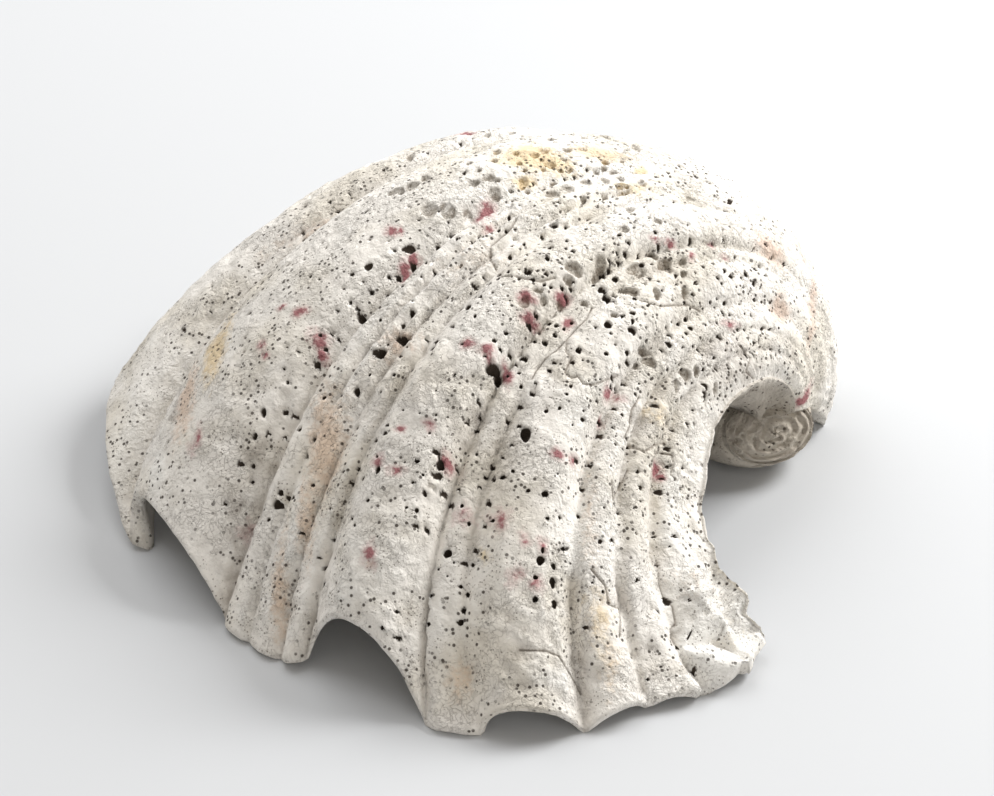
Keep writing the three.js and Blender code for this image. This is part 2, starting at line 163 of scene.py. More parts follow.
# Holes by their place in the photo: x, y, half width, half height, depth in mm.
HOLES = [
    (360, 317, 4.2, 4.2, 2.6), (356, 391, 3.6, 4.2, 2.6), (263, 412, 3.6, 3.6, 2.2),
    (283, 411, 3.2, 2.2, 1.2), (254, 436, 3.2, 3.2, 2.2), (380, 353, 7, 4.5, 2),
    (402, 339, 7.5, 4, 2.4), (412, 313, 3.6, 3.6, 2.2), (408, 248, 8, 2.6, 1.2),
    (368, 266, 5, 2.8, 1.2), (316, 364, 3.4, 3, 1.8), (325, 349, 2.2, 2.2, 1.5),
    (320, 335, 2, 2, 1.5), (287, 382, 2.2, 2.2, 1.5), (315, 440, 2.2, 2.2, 1.5),
    (308, 457, 2.6, 2, 1.5), (369, 374, 1.8, 1.8, 1.3), (395, 376, 2, 1.8, 1.3),
    (403, 287, 2.2, 2, 1.5), (388, 276, 2, 1.8, 1.3), (370, 291, 2, 2, 1.4), (350, 302, 2, 2, 1.4),
    (381, 321, 1.8, 1.8, 1.3), (337, 338, 1.6, 1.6, 1.2), (553, 227, 5, 3.6, 2.6),
    (528, 272, 4.6, 3.4, 2.2), (546, 274, 3, 2, 1.6), (519, 279, 2, 1.8, 1.4),
    (412, 265, 3.2, 3.2, 1.8), (397, 276, 2.6, 2.4, 1.6), (438, 248, 2.4, 2.4, 1.6),
    (426, 263, 2, 2, 1.5), (453, 238, 3.2, 1.8, 1.4), (458, 242, 2, 1.8, 1.4),
    (509, 218, 2, 2, 1.5), (499, 232, 2, 1.8, 1.4), (524, 246, 1.8, 1.8, 1.4),
    (573, 251, 2.6, 2.2, 1.6), (566, 248, 2, 2, 1.4), (590, 222, 2.2, 2, 1.5),
    (586, 229, 2, 1.8, 1.4), (510, 258, 2.2, 2, 1.5), (615, 280, 3.4, 3, 2),
    (606, 300, 4.6, 4.4, 2), (602, 291, 4.6, 3.6, 1.8), (529, 325, 3.2, 2.6, 1.7),
    (536, 315, 2.6, 2, 1.4), (549, 324, 2.6, 2.2, 1.7), (608, 325, 4.4, 5, 2.4),
    (632, 331, 5.4, 4.2, 2.6), (545, 343, 3.2, 3.2, 1.8), (555, 335, 2.8, 2.6, 1.7),
    (579, 350, 3.6, 3.4, 2.2), (564, 329, 2, 2, 1.5), (506, 333, 2.6, 2.2, 1.5),
    (494, 340, 2.6, 2.4, 1.6), (524, 359, 4.4, 3.2, 2.2), (500, 349, 1.9, 1.9, 1.4),
    (510, 355, 2, 2, 1.5), (493, 369, 8, 5, 3), (497, 379, 4, 5, 2.8), (519, 373, 2, 1.8, 1.4),
    (452, 325, 2.6, 2.4, 1.8), (480, 297, 2.8, 2, 1.6), (447, 296, 2, 2, 1.5),
    (475, 316, 2, 2, 1.5), (468, 306, 3.4, 4, 1.8), (606, 354, 2.8, 2.4, 1.6),
    (627, 353, 3, 2.8, 1.8), (669, 345, 3.4, 3, 1.6), (550, 371, 2.2, 2.2, 1.5),
    (521, 387, 2.2, 2.2, 1.5), (571, 386, 2.2, 2.2, 1.5), (532, 395, 2.4, 2.4, 1.5),
    (567, 394, 1.8, 1.8, 1.3), (636, 394, 2.2, 2, 1.4), (706, 387, 2.6, 2.4, 1.4),
    (706, 397, 2.6, 3.2, 1.4), (250, 465, 2, 2, 1.4), (249, 481, 1.6, 1.6, 1.2),
    (269, 520, 2.2, 1.8, 1.4), (278, 505, 5.6, 4.6, 2.2), (281, 493, 3.6, 2.8, 1.6),
    (288, 498, 2.2, 2, 1.4), (378, 470, 3.2, 4.4, 2.2), (440, 465, 3.6, 5.6, 2.4),
    (437, 476, 4.6, 4, 1), (417, 461, 2.8, 2, 1.5), (423, 475, 1.6, 1.6, 1.2),
    (425, 494, 1.8, 3.2, 1.4), (417, 511, 2.2, 2.4, 1.5), (407, 508, 2, 1.6, 1.3),
    (448, 554, 4.4, 4.8, 2.8), (461, 587, 2, 2.2, 1.5), (468, 595, 2.4, 2.8, 1.6),
    (432, 595, 1.7, 1.9, 1.3), (464, 611, 2.4, 2.4, 1.6), (461, 623, 3.2, 3.2, 2),
    (430, 624, 2.2, 2.4, 1.5), (383, 628, 2, 2.6, 1.5), (397, 612, 1.8, 2, 1.3),
    (398, 638, 3.4, 1.6, 1.3), (469, 524, 2.2, 2.2, 1.5), (462, 506, 2.2, 2.2, 1.4),
    (493, 521, 2.2, 2, 1.4), (503, 477, 2.8, 2.8, 1.7), (485, 477, 2, 2, 1.4),
    (513, 471, 2.2, 2.2, 1.5), (489, 504, 2.4, 2.6, 1.4), (427, 531, 2, 2.2, 1.4),
    (473, 565, 2, 2.2, 1.4), (545, 494, 3.8, 3.6, 2.4), (547, 519, 2.2, 2, 1.5),
    (559, 518, 2, 2, 1.5), (577, 518, 1.7, 1.7, 1.3), (562, 550, 2.2, 2.2, 1.5),
    (542, 551, 2, 3.4, 1.7), (540, 561, 4.4, 5.4, 2.4), (535, 578, 2.6, 2.6, 1.6),
    (553, 567, 2.6, 3.6, 1.2), (552, 583, 3.4, 5.6, 1.5), (554, 605, 3, 4.6, 1.5),
    (535, 600, 3.2, 3.2, 2.2), (547, 410, 2.4, 2.4, 1.6), (526, 434, 5, 9, 2.6),
    (600, 422, 2, 2, 1.4), (622, 415, 1.8, 1.8, 1.3), (627, 439, 1.8, 1.8, 1.3),
    (602, 592, 1.8, 1.8, 1.3), (693, 675, 2.6, 2.6, 1.5), (651, 677, 1.6, 1.6, 1.2),
    (688, 634, 2.2, 3, 1.4), (669, 600, 2.6, 4, 1.2), (698, 350, 2, 2, 1.3), (754, 283, 3, 3, 1.8),
    (729, 202, 3.2, 3, 1.6), (697, 175, 2.6, 1.6, 1.2),
]

# Shallow open chambers, the same way.
CRATERS = [
    (573, 269, 10, 6, 0.9), (568, 280, 6.5, 3.6, 0.8), (600, 267, 6.5, 8, 1.1),
    (596, 277, 5.5, 4, 0.8), (636, 270, 9.5, 6.5, 0.9), (631, 292, 8.5, 5.6, 1.2),
    (657, 294, 4.6, 6.2, 1.1), (654, 255, 6, 4, 1), (666, 265, 10, 6.4, 0.9),
    (684, 262, 4, 4.5, 0.8), (685, 273, 4, 4, 0.8), (686, 292, 3.6, 7, 1.1),
    (584, 304, 5, 3.2, 0.8), (560, 305, 4, 3.6, 0.8), (543, 300, 4.4, 4.4, 0.7),
    (524, 302, 6, 5.4, 0.8), (538, 290, 6, 3, 0.8), (615, 315, 4.6, 3, 1), (644, 352, 8.5, 4, 1),
    (650, 362, 7, 4.6, 0.8), (636, 366, 3.6, 3, 0.7), (630, 210, 5, 5, 1),
    (624, 230, 5.4, 3.4, 0.8), (658, 222, 4.6, 2.6, 0.8), (430, 212, 8, 6, 0.4),
    (448, 213, 8, 6.5, 0.4), (468, 217, 5, 4, 0.4), (495, 195, 7, 4.6, 0.6), (523, 183, 5, 4, 0.6),
    (552, 195, 7, 4, 0.5), (567, 190, 7, 4, 0.5), (586, 184, 6, 3, 0.5), (622, 192, 8, 5, 0.7),
    (641, 185, 5, 4, 0.6), (535, 157, 5, 2.4, 0.8), (550, 166, 6, 2.6, 0.8), (543, 153, 5, 3, 0.7),
    (516, 156, 4, 2.4, 0.7), (604, 138, 5, 3, 0.7), (636, 149, 5, 2.4, 0.8), (497, 155, 5, 3, 0.7),
    (489, 180, 7, 3.4, 0.8), (474, 185, 6, 2.4, 0.7), (412, 186, 7, 4.6, 0.8),
    (425, 179, 5, 3, 0.8), (401, 191, 4, 3.6, 1), (393, 192, 8, 3, 0.8), (410, 157, 4.6, 2.8, 0.6),
    (446, 139, 5, 2.4, 0.6), (487, 137, 4, 3, 0.6), (686, 375, 6, 5, 0.8), (697, 371, 5, 4, 0.8),
    (716, 389, 3, 3.6, 0.7), (677, 386, 3, 5, 0.9), (690, 198, 6, 3, 0.7), (432, 487, 3.4, 3, 0.6),
]

# Red crusts: x, y, half width, half height, strength.
RED_SPOTS = [
    (391, 230, 8, 6, 1), (400, 230, 4, 4, 1), (281, 307, 8, 3, 0.8), (300, 311, 10, 5, 1),
    (262, 345, 6, 5, 1), (266, 356, 5, 4, 0.8), (319, 341, 9, 9, 0.7), (322, 355, 6, 8, 1),
    (200, 438, 5, 8, 0.5), (195, 448, 6, 5, 0.4), (404, 271, 6, 10, 1), (413, 259, 7, 7, 0.9),
    (400, 428, 6, 4, 0.7), (429, 425, 6, 5, 0.7), (467, 136, 13, 4, 0.9), (488, 214, 10, 10, 0.8),
    (481, 222, 7, 7, 0.9), (488, 231, 6, 4, 0.6), (526, 297, 10, 7, 0.9), (530, 319, 11, 6, 0.8),
    (563, 298, 11, 5, 0.9), (568, 323, 7, 6, 0.9), (469, 343, 9, 5, 0.9), (487, 350, 8, 6, 1),
    (489, 359, 5, 5, 0.6), (507, 377, 6, 11, 1), (672, 243, 9, 3, 0.9), (656, 240, 8, 2, 0.6),
    (693, 255, 6, 4, 0.8), (712, 245, 5, 3, 0.7), (725, 257, 5, 3, 0.6), (732, 325, 10, 4, 0.6),
    (631, 127, 9, 3, 0.7), (654, 137, 5, 2, 0.6), (804, 399, 16, 6, 0.9), (812, 262, 6, 5, 0.6),
    (608, 394, 7, 7, 0.8), (617, 398, 6, 4, 0.5), (557, 454, 8, 5, 0.8), (572, 461, 6, 5, 0.8),
    (655, 470, 9, 6, 1), (661, 477, 5, 5, 0.9), (378, 461, 6, 7, 0.7), (396, 470, 8, 5, 0.7),
    (446, 463, 7, 9, 0.9), (371, 555, 8, 9, 0.7), (500, 520, 9, 7, 0.5), (515, 576, 8, 6, 0.4),
    (464, 515, 8, 7, 0.4), (536, 584, 7, 7, 0.6), (542, 546, 5, 6, 0.5), (524, 541, 5, 5, 0.4),
    (600, 422, 4, 4, 0.6), (247, 533, 4, 4, 0.2),
]

# Yellow and peach stains: x, y, half width, half height, strength, share of peach.
WARM_STAINS = [
    (535, 158, 52, 26, 1, 0.2), (592, 134, 50, 16, 1, 0.1), (600, 153, 50, 14, 0.8, 0.4),
    (642, 171, 12, 7, 1, 0.2), (524, 183, 16, 9, 1, 0.2), (632, 190, 30, 14, 0.5, 0),
    (770, 250, 34, 16, 0.9, 1), (780, 310, 26, 16, 0.9, 1), (812, 300, 12, 60, 0.7, 1),
    (215, 350, 26, 44, 0.9, 0.2), (325, 440, 26, 66, 0.8, 0.8), (185, 400, 20, 56, 0.8, 0.9),
    (310, 230, 60, 16, 0.3, 0.9), (600, 620, 22, 34, 0.5, 0.2), (610, 665, 16, 30, 0.4, 0.5),
    (588, 520, 12, 60, 0.3, 0.8), (280, 590, 12, 60, 0.7, 0.8), (460, 680, 16, 24, 0.5, 0.7),
    (484, 556, 8, 10, 0.5, 0), (660, 415, 20, 16, 0.4, 0.2), (735, 640, 20, 14, 0.1, 0.2),
    (470, 260, 50, 14, 0.2, 0.7), (400, 345, 30, 20, 0.5, 0.9), (371, 563, 6, 5, 0.6, 0.2),
    (700, 585, 30, 20, 0.2, 0.8), (640, 100, 60, 60, 0.1, 0.2), (308, 520, 16, 50, 0.6, 0.8),
    (665, 180, 20, 12, 0.3, 0.1),
]

# Places darkened partly for settled dirt and partly as painted shade on shaded flanks: x, y, half
# width, half height, strength.
DIRT_AND_SHADE_PLACES = [
    (728, 362, 50, 32, 0.9), (686, 612, 16, 34, 0.8), (238, 535, 16, 60, 0.8),
    (225, 590, 14, 30, 0.6), (620, 335, 60, 22, 0.5), (505, 157, 40, 12, 0.4),
    (410, 186, 46, 10, 0.6), (170, 420, 12, 60, 0.5), (430, 600, 14, 60, 0.6),
    (482, 600, 10, 60, 0.5), (585, 620, 14, 70, 0.6), (790, 330, 36, 60, 0.35),
    (560, 345, 40, 26, 0.5), (640, 440, 22, 40, 0.5), (250, 450, 20, 40, 0.4),
    (480, 250, 40, 14, 0.4), (630, 560, 10, 60, 0.5), (520, 655, 50, 8, 0.5),
    (660, 275, 40, 20, 0.5),
]

# Pale places, partly clean shell and partly painted light where light falls, the same way.
PALE_AND_LIT_PLACES = [
    (675, 505, 30, 66, 1), (640, 600, 26, 50, 0.6), (160, 460, 20, 60, 0.9),
    (300, 540, 22, 70, 0.9), (700, 590, 30, 30, 0.8), (560, 680, 60, 20, 0.6),
    (600, 380, 60, 26, 0.5), (470, 330, 50, 30, 0.5), (590, 165, 50, 12, 0.6),
    (560, 420, 60, 40, 0.4), (350, 230, 50, 20, 0.4),
]

# Cracks as lines of photo pixels.
CRACKS = [
    [(592, 308), (586, 320), (575, 331), (566, 341), (566, 352), (572, 358), (565, 372), (572, 378),
     (578, 376), (583, 384), (593, 385), (606, 380), (622, 374)],
    [(566, 341), (556, 352), (545, 360), (536, 372), (530, 384)],
    [(640, 397), (632, 410), (630, 425), (625, 437), (632, 446), (645, 452), (655, 445),
     (668, 442)],
    [(655, 452), (672, 455), (673, 465), (670, 475), (678, 481)],
    [(629, 470), (622, 484), (612, 500), (611, 478)],
    [(519, 218), (512, 228), (500, 238), (491, 246), (490, 258), (496, 270), (503, 277),
     (515, 277)],
    [(515, 277), (540, 281), (558, 277)],
    [(640, 300), (660, 306), (690, 304), (705, 312)],
    [(740, 345), (752, 358), (748, 372), (757, 382), (752, 395)],
    [(590, 570), (604, 586), (608, 604), (618, 609), (620, 640)],
    [(660, 560), (664, 585), (672, 606), (668, 630), (678, 652)],
    [(520, 650), (545, 651), (558, 656), (570, 674), (584, 696)],
]


scene = bpy.context.scene


def linked(name, data):
    made = bpy.data.objects.new(name, data)
    scene.collection.objects.link(made)
    return made


def smooth(value, low, high):
    """0 below low, 1 above high, and a smooth step between them."""
    share = np.clip((value - low) / (high - low), 0, 1)
    return share * share * (3 - 2 * share)


def fade(turn, reach):
    return np.exp(-turn / reach)


def length(vectors):
    return np.linalg.norm(vectors, axis=-1)


def unit(vectors):
    return vectors / length(vectors)[..., None]


swing = math.radians(AXIS_SWING)
dip = math.radians(AXIS_DIP)
AXIS = np.array([math.sin(swing) * math.cos(dip), math.cos(swing) * math.cos(dip), math.sin(dip)])
BEAK_CENTRE = POLE + BEAK_FROM_POLE - AXIS * BEAK_BACK


def noise(points, size, seed):
    """Smooth random values from -1 to 1, with lumps about as wide as size."""
    cell = points / size
    low = np.floor(cell).astype(np.int64)
    share = cell - low
    share = share * share * (3 - 2 * share)
    total = np.zeros(len(points))
    for corner in range(8):
        step = np.array([corner & 1, corner >> 1 & 1, corner >> 2 & 1])
        at = low + step
        mixed = at[:, 0] * 73856093 ^ at[:, 1] * 19349663 ^ at[:, 2] * 83492791 ^ seed * 2654435761
        mixed = (mixed ^ mixed >> 13) * 1274126177 & 0xFFFFFFFF
        value = (mixed ^ mixed >> 16) % 65536 / 32767.5 - 1
        total += value * np.prod(np.where(step == 1, share, 1 - share), axis=1)
    return total


# A place on the surface is a fan angle and a rise, the turn counted from the cut margin.
def fold_at(fan):
    index = np.clip(np.searchsorted(START, fan, side="right") - 1, 0, LAST_FOLD)
    across = (fan - START[index]) / (START[index + 1] - START[index])
    return index, across


def between(values, index, across):
    return values[index] * (1 - across) + values[index + 1] * across


def dome(across):
    return 1 - np.abs(2 * across - 1) ** 2.4


def shrink(turn):
    return np.exp(-SHRINK_PER_RADIAN * turn)


def margin_radius(angle):
    """Distance from the pole to the margin's ellipse, in the direction of an angle in radians."""
    turn = math.radians(MARGIN_TURN)
    to_ellipse = np.array([[math.cos(turn), math.sin(turn)], [-math.sin(turn), math.cos(turn)]])
    to_ellipse /= np.array([[MARGIN_HALF_LENGTH], [MARGIN_HALF_WIDTH]])
    ray = np.stack([-np.cos(angle), -np.sin(angle)], -1) @ to_ellipse.T
    start = -MARGIN_CENTRE @ to_ellipse.T
    along = ray @ start
    size = (ray * ray).sum(-1)
    return (-along + np.sqrt(along**2 - size * (start @ start - 1))) / size


def sheet(angle, turn):
    radius = margin_radius(angle)
    down = np.full_like(radius, -POLE[2])
    point = np.stack([-radius * np.cos(angle), -radius * np.sin(angle), down], -1)
    cos = np.cos(turn)[:, None]
    sin = np.sin(turn)[:, None]
    turned = point * cos + np.cross(AXIS, point) * sin + AXIS * (point @ AXIS)[:, None] * (1 - cos)
    size = shrink(turn)[:, None]
    return POLE + turned * size + AXIS * DRIFT_ALONG_AXIS * (1 - size)


def outward(angle, turn):
    step = 0.001
    across = sheet(angle + step, turn) - sheet(angle - step, turn)
    along = sheet(angle, turn + step) - sheet(angle, turn - step)
    return unit(np.cross(across, along))


def turn_of(fan, rise):
    index, across = fold_at(fan)
    cut = between(FOOT, index, across) + ARCH[index] * dome(across) ** 0.8
    return rise + cut * fade(rise, CUT_FADE)


def angle_of(fan, turn):
    index, across = fold_at(fan)
    return np.radians(fan + between(SWAY, index, across) * fade(turn, SWAY_FADE))


def fold_relief(fan, turn):
    index, across = fold_at(fan)
    share = np.where(index == 0, smooth(across, 0, 0.8), 1.0)
    share = np.where(index == LAST_FOLD, 1 - smooth(across, 0.4, 1), share)
    share = share * (1 - 0.6 * smooth(turn, 0.6, 1.9))
    fold = FOLD_HEIGHT * (HEIGHT[index] * dome(across) - 0.5) * share
    return (fold + MM * between(FLARE, index, across) * fade(turn, FLARE_FADE)) * shrink(turn)


def beside_gape(angle):
    return smooth(angle, math.radians(62), math.radians(LAST_FAN))


def bare_outside(fan, rise):
    """The outside with its folds, and its outward normal."""
    turn = turn_of(fan, rise)
    angle = angle_of(fan, turn)
    out = outward(angle, turn)
    shoulder = SHOULDER_BY_GAPE * smooth(turn, 0.8, 1.9) * beside_gape(angle)
    point = sheet(angle, turn) + out * fold_relief(fan, turn)[:, None]
    return point - AXIS * shoulder[:, None], out


def on_axis(point):
    return POLE + AXIS * ((point - POLE) @ AXIS)[:, None]


def inside(fan, rise):
    turn = turn_of(fan, rise)
    angle = angle_of(fan, turn)
    radius = margin_radius(angle) * shrink(turn)
    middle = smooth(turn, 0, 1.5)
    share = 0.1 * middle + 0.5 * smooth(turn, 1.2, LAST_TURN)
    relief = fold_relief(fan, turn) * (1 - smooth(turn, 0.2, 1.1))
    wall = WALL_AT_MARGIN * (1 - middle) + radius * share
    point = sheet(angle, turn) + outward(angle, turn) * (relief - wall)[:, None]
    filled = FILLED_SHARE * smooth(turn, 1, 2.3) * beside_gape(angle)
    return point + (on_axis(point) - point) * filled[:, None]


# Camera and the way from a pixel to the surface.
FOCAL_PIXELS = LENS_MM / SENSOR_MM * IMAGE_WIDTH
elevation = math.radians(CAMERA_ELEVATION)
FORWARD = np.array([0, math.cos(elevation), -math.sin(elevation)])
UP = np.array([0, math.sin(elevation), math.cos(elevation)])
RIGHT = np.array([1.0, 0, 0])
EYE = CAMERA_TARGET - FORWARD * CAMERA_DISTANCE


def pixel_ray(x, y):
    aside = (x - IMAGE_WIDTH / 2) / FOCAL_PIXELS
    above = (IMAGE_HEIGHT / 2 - y) / FOCAL_PIXELS
    return unit(FORWARD + RIGHT * aside + UP * above)


def coarse_tree():
    fans, rises = np.meshgrid(COARSE_FANS, COARSE_RISES, indexing="ij")
    points, _ = bare_outside(fans.ravel(), rises.ravel())
    rows = len(COARSE_RISES)
    faces = [
        (i * rows + j, (i + 1) * rows + j, (i + 1) * rows + j + 1, i * rows + j + 1)
        for i in range(len(COARSE_FANS) - 1)
        for j in range(rows - 1)
    ]
    return BVHTree.FromPolygons(points.tolist(), faces), points, np.array(faces)


tree, coarse_points, coarse_faces = coarse_tree()


def place_of(x, y):
    """Fan, rise and distance from the eye of what a pixel shows, or None."""
    hit, _, face, distance = tree.ray_cast(Vector(EYE), Vector(pixel_ray(x, y)))
    if hit is None:
        return None
    row = face // (len(COARSE_RISES) - 1)
    column = face % (len(COARSE_RISES) - 1)
    corner = coarse_points[coarse_faces[face][0]]
    across = coarse_points[coarse_faces[face][1]] - corner
    along = coarse_points[coarse_faces[face][3]] - corner
    shares, *_ = np.linalg.lstsq(np.stack([across, along], 1), np.array(hit) - corner, rcond=None)
    fan = COARSE_FANS[row] + shares[0] * (COARSE_FANS[1] - COARSE_FANS[0])
    rise = COARSE_RISES[column] + shares[1] * (COARSE_RISES[1] - COARSE_RISES[0])
    return fan, rise, distance


def frame_at(fan, rise):
    """The surface point, its normal, and the matrix from tangent metres to fan and rise."""
    step = np.array([0.05, 0.0005])
    fans = np.array([fan, fan + step[0], fan])
    rises = np.array([rise, rise, rise + step[1]])
    points, normals = bare_outside(fans, rises)
    jacobian = np.stack([(points[1] - points[0]) / step[0], (points[2] - points[0]) / step[1]], 1)
    return points[0], normals[0], np.linalg.pinv(jacobian)


class Patch:
    """A round or oval mark on the surface, with axes in the photo's plane or in the surface."""

    def __init__(self, fan, rise, half_width, half_height, depth, seed):
        self.fan = fan
        self.rise = rise
        self.depth = depth
        self.seed = seed
        self.centre, normal, self.to_place = frame_at(fan, rise)
        self.side = unit(RIGHT - normal * (RIGHT @ normal))
        self.top = np.cross(normal, self.side)
        self.half = np.array([half_width, half_height])

    def wander(self, turn):
        return 0.10 * np.sin(2 * turn + self.seed) + 0.08 * np.sin(3 * turn + 1.7 * self.seed)

    def distance(self, points):
        """0 at the centre and 1 at the edge, which wanders a little."""
        from_centre = points - self.centre
        flat = np.stack([from_centre @ self.side, from_centre @ self.top], 1) / self.half
        away = length(flat)
        turn = np.arctan2(flat[:, 1], flat[:, 0])
        return away * (1 + self.wander(turn))

    def ring(self, size, count):
        """Places on an oval of this size, as fans and rises."""
        turn = (np.arange(count) + 0.5 * (count % 3)) * 2 * math.pi / count
        reach = size / (1 + self.wander(turn))
        flat = np.stack([np.cos(turn) * reach, np.sin(turn) * reach], 1) * self.half
        offsets = flat[:, :1] * self.side + flat[:, 1:] * self.top
        return np.array([self.fan, self.rise]) + offsets @ self.to_place.T


def photo_patches(rows):
    """Marks read off the photo, each turned from pixels to its true size on the surface."""
    patches = []
    for seed, (x, y, half_width, half_height, depth) in enumerate(rows):
        place = place_of(x, y)
        if place is None:
            continue
        fan, rise, distance = place
        _, normal, _ = frame_at(fan, rise)
        size = distance / FOCAL_PIXELS
        slant = max(LEAST_SLANT, abs(normal @ FORWARD))
        patches.append(Patch(fan, rise, half_width * size, half_height * size / slant, depth, seed))
    return patches


random = np.random.default_rng(11)


def nearest_gap(centres, patch):
    return np.min(length(np.array(centres) - patch.centre))


def pit_fields(taken):
    """Crowds of pits that keep clear of each other and of the marks already taken."""
    centres = [patch.centre for patch in taken]
    pits = []
    for x, y, half_width, half_height, count, smallest, largest, depth in PIT_FIELDS:
        for _ in range(count):
            away = math.sqrt(random.random())
            way = random.uniform(0, 2 * math.pi)
            aside = half_width * away * math.cos(way)
            below = half_height * away * math.sin(way)
            place = place_of(x + aside, y + below)
            if place is None or not FIRST_FAN + 2 < place[0] < LAST_FAN - 3:
                continue
            fan, rise, distance = place
            radius = random.uniform(smallest, largest) * distance / FOCAL_PIXELS
            other_radius = radius * random.uniform(0.7, 1.1)
            pit = Patch(fan, rise, radius, other_radius, depth, random.uniform(0, 6))
            if nearest_gap(centres, pit) < radius + PIT_GAP:
                continue
            centres.append(pit.centre)
            pits.append(pit)
    return pits


def scattered_pores(taken):
    """Small holes all over the outside, thickest in the middle of the valve's age."""
    centres = [patch.centre for patch in taken]
    pores = []
    while len(pores) < PORE_COUNT:
        fan = random.uniform(FIRST_FAN + 2, LAST_FAN - 3)
        rise = random.uniform(0.04, 2.2)
        keep = 0.12 + 0.88 * smooth(rise, 0.1, 0.5) * (1 - 0.6 * smooth(rise, 1.3, 2.0))
        keep *= 0.2 + 0.8 * smooth(fan, -28, -8)
        keep *= 1 - 0.8 * smooth(fan, 50, 60) * (1 - smooth(rise, 0.4, 0.9))
        if random.random() > keep:
            continue
        radius = (PORE_RADIUS + PORE_RADIUS_SPREAD * random.random() ** 2.5) * MM
        other_radius = radius * random.uniform(0.85, 1.2)
        pore = Patch(fan, rise, radius, other_radius, PORE_DEPTH, random.uniform(0, 6))
        if nearest_gap(centres, pore) < PORE_GAP:
            continue
        centres.append(pore.centre)
        pores.append(pore)
    return pores


holes = photo_patches(HOLES)
craters = photo_patches(CRATERS)
pits = pit_fields(holes + craters)
craters += [pit for pit in pits if pit.depth < 1]
holes += [pit for pit in pits if pit.depth >= 1]
pores = scattered_pores(holes + craters)


def crack_lines():
    """Each crack as places spaced closely along the surface."""
    lines = []
    for crack in CRACKS:
        places = []
        for (x0, y0), (x1, y1) in zip(crack, crack[1:]):
            count = max(2, int(math.hypot(x1 - x0, y1 - y0) / CRACK_STEP_PIXELS))
            for step in range(count):
                share = step / count
                place = place_of(x0 + (x1 - x0) * share, y0 + (y1 - y0) * share)
                if place is not None:
                    places.append(place[:2])
        lines.append(np.array(places))
    return lines


cracks = crack_lines()


# Mesh points lie evenly over the outside, with rings round each hole and rows beside each crack.


def even_places(spacing):
    """Rows of places that keep about the same spacing in metres."""
    rows = []
    rise = 0.0
    fans = np.linspace(FIRST_FAN, LAST_FAN, 400)
    while rise < LAST_TURN:
        probe, _ = bare_outside(fans, np.full_like(fans, rise))
        ahead, _ = bare_outside(fans, np.full_like(fans, rise + 0.01))
        lengths = length(np.diff(probe, axis=0))
        reach = np.concatenate([[0], np.cumsum(lengths)])
        local = spacing * (0.78 + 0.22 * shrink(rise))
        count = max(12, int(reach[-1] / local))
        shares = np.linspace(0, 1, count + 1)
        if len(rows) % 2:
            inner = (shares[:-1] + shares[1:]) / 2
            shares = np.concatenate([[0], inner, [1]])
        row = np.interp(shares * reach[-1], reach, fans)
        rows.append(np.stack([row, np.full_like(row, rise)], 1))
        advance = np.median(length(ahead - probe)) / 0.01
        rise += ROW_HEIGHT_PER_SPACING * local / advance
    last = np.linspace(FIRST_FAN, LAST_FAN, len(rows[-1]))
    rows.append(np.stack([last, np.full_like(last, LAST_TURN)], 1))
    return rows


def is_clear(places, points, patches, reach):
    """Whether each place lies outside every patch, made larger by reach."""
    clear = np.ones(len(places), bool)
    for patch in patches:
        near = np.abs(points - patch.centre).max(axis=1) < patch.half.max() * reach * 1.3
        if near.any():
            clear[near] &= patch.distance(points[near]) > reach
    return clear


def keep_inside(places, fan_gap, rise_gap, far_gap):
    fan, rise = places.T
    kept = (fan > FIRST_FAN + fan_gap) & (fan < LAST_FAN - fan_gap)
    return places[kept & (rise > rise_gap) & (rise < LAST_TURN - far_gap)]


def outer_places():
    rows = even_places(OUTER_SPACING)
    places = np.concatenate(rows)
    points, _ = bare_outside(places[:, 0], places[:, 1])
    on_edge = (places[:, 1] == 0) | (places[:, 1] == LAST_TURN)
    on_edge |= (places[:, 0] == FIRST_FAN) | (places[:, 0] == LAST_FAN)
    clear = is_clear(places, points, holes + craters, 1.25)
    clear &= is_clear(places, points, pores, 1.4)
    extra = []
    for patch in holes + craters:
        around = max(8, min(26, int(2 * math.pi * patch.half.mean() / 0.0007)))
        extra += [patch.ring(size, around) for size in (1.22, 1.03, 0.88)]
        extra.append(patch.ring(0.55, max(5, around // 2)))
        extra.append(np.array([[patch.fan, patch.rise]]))
    for pore in pores:
        extra += [pore.ring(1.06, 7), pore.ring(0.76, 5)]
        extra.append(np.array([[pore.fan, pore.rise]]))
    crack_places = []
    for line in cracks:
        for fan, rise in line:
            side = CRACK_HALF_WIDTH * 1.7
            crack_places.append(np.array([[fan, rise]]))
            crack_places.append(Patch(fan, rise, side, side, 0, 0).ring(1.0, 6))
    extra = keep_inside(np.concatenate(extra + crack_places), 0.3, 0.004, 0.02)
    return np.concatenate([places[clear | on_edge], extra])


def triangles_of(places):
    flat = places * np.array([FAN_METRES, RISE_METRES])
    found = delaunay_2d_cdt([Vector(p) for p in flat.tolist()], [], [], 0, 1e-7, True)
    kept = places[[inputs[0] for inputs in found[3]]]
    return kept, np.array(found[2])


outer_domain, outer_faces = triangles_of(outer_places())


# Relief over the bare surface: growth lines, riblets, lumps, then holes, craters and cracks.
def streaks(fan, rise, width, reach, seed):
    """Random values drawn out along the growth: width in degrees of fan, reach in radians."""
    stretched = np.stack([fan / width, rise / reach, np.zeros_like(fan)], 1)
    return noise(stretched, 1.0, seed)


def crumbs(points, size, seed):
    """Rounded bumps with sharp creases between them."""
    return 1 - 2 * np.abs(noise(points, size, seed))


